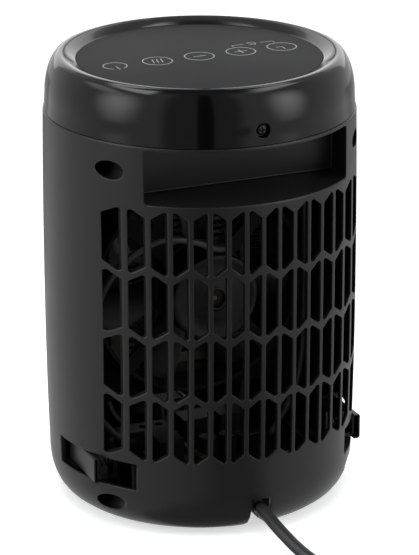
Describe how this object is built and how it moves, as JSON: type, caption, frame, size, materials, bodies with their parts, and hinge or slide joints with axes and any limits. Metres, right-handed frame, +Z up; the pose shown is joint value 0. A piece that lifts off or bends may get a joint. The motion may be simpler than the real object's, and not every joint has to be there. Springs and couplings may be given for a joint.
{
  "type": "ceramic space heater",
  "caption": "Round tabletop ceramic fan heater with a honeycomb rear grille, recessed carry handle, touch panel on its cap and a mains cord.",
  "frame": {"origin": "centre of the round body on the surface that its feet stand on", "axes": "+Z up, -Y to the front where the warm air leaves, +Y to the rear grille, +X to the power key's side"},
  "size_m": [0.172, 0.3562, 0.25],
  "materials": {
    "shell_satin": "satin black, fine grain",
    "grille_black": "matte black",
    "cap_gloss": "gloss black",
    "panel_dark": "dark grey, fine satin",
    "board_green": "solder mask",
    "spring_steel": "bright wire",
    "screw_steel": "plated",
    "base_black": "matte black",
    "foot_rubber": "soft matte",
    "inner_black": "matte black",
    "fan_grey": "dark grey",
    "motor_steel": "zinc grey",
    "iron": "laminated",
    "copper": "enamelled wire",
    "shaft_steel": "ground",
    "bearing_bronze": "sintered",
    "heat_resin": "heat-resistant resin",
    "fin_aluminium": "bare",
    "bar_ceramic": "unglazed",
    "thermostat_body": "unglazed",
    "relay_blue": "moulded",
    "transformer_yellow": "taped",
    "capacitor_black": "sleeved",
    "terminal_green": "moulded",
    "switch_white": "moulded",
    "latch_black": "satin black",
    "cord_black": "soft matte",
    "lead_white": "soft",
    "lead_brown": "soft",
    "blade_brass": "polished"
  },
  "bodies": {
    "housing": {"rear_shell": "shell_satin", "front_shell": "shell_satin", "front_grille": "grille_black", "top_cap": "cap_gloss", "touch_panel": "panel_dark", "touch_board": "board_green", "touch_springs": "spring_steel", "panel_screws": "screw_steel", "base_plate": "base_black", "foot_pads": "foot_rubber", "base_screws": "screw_steel", "shell_screws": "screw_steel", "cap_screw": "screw_steel", "fan_shroud": "inner_black", "motor_can": "motor_steel", "motor_cover": "motor_steel", "motor_stator": "iron", "motor_windings": "copper", "motor_bearings": "bearing_bronze", "motor_screws": "screw_steel", "heater_frame": "heat_resin", "heater_fins": "fin_aluminium", "ceramic_bars": "bar_ceramic", "electrode_straps": "fin_aluminium", "core_screws": "screw_steel", "thermostat": "thermostat_body", "thermal_fuse": "thermostat_body", "power_board": "board_green", "power_relays": "relay_blue", "supply_transformer": "transformer_yellow", "supply_capacitors": "capacitor_black", "terminal_block": "terminal_green", "board_screws": "screw_steel", "tip_switch_housing": "switch_white", "tip_spring": "spring_steel", "tip_microswitch": "capacitor_black", "latch_pins": "screw_steel", "right_latch_spring": "spring_steel", "left_latch_spring": "spring_steel", "cord_relief": "cord_black", "cord_clamp": "inner_black", "clamp_screws": "screw_steel", "motor_leads": "lead_white", "heater_leads": "lead_white", "panel_harness": "lead_white", "mains_leads": "lead_brown", "mains_cord": "cord_black", "cord_coil": "cord_black", "cord_tail": "cord_black", "cord_tie": "cord_black", "mains_plug": "cord_black", "plug_blades": "blade_brass"},
    "fan": {"fan_impeller": "fan_grey", "fan_clip": "spring_steel", "motor_rotor": "iron", "motor_shaft": "shaft_steel"},
    "right_latch_body": {"right_latch": "latch_black"},
    "left_latch_body": {"left_latch": "latch_black"},
    "tip_plunger_body": {"tip_plunger": "switch_white"}
  },
  "joints": [
    {"name": "fan_spin", "type": "hinge", "parent": "housing", "child": "fan", "pos_m": [0, -0.013, 0.115], "axis": [0, 1, 0], "continuous": true},
    {"name": "right_latch_press", "type": "hinge", "parent": "housing", "child": "right_latch_body", "pos_m": [0.0755, 0.0075, 0.03335], "axis": [0, 0, 1], "range_deg": [0, 6], "stiffness_Nm_per_rad": 0.3, "springref_deg": -5.73, "deforming": ["right_latch_spring"]},
    {"name": "left_latch_press", "type": "hinge", "parent": "housing", "child": "left_latch_body", "pos_m": [-0.0755, 0.0075, 0.03335], "axis": [0, 0, -1], "range_deg": [0, 6], "stiffness_Nm_per_rad": 0.3, "springref_deg": -5.73, "deforming": ["left_latch_spring"]},
    {"name": "tip_switch_plunge", "type": "slide", "parent": "housing", "child": "tip_plunger_body", "axis": [0, 0, 1], "range_m": [-0.003, 0], "stiffness_N_per_m": 40, "springref_m": -0.006, "deforming": ["tip_spring"]}
  ]
}
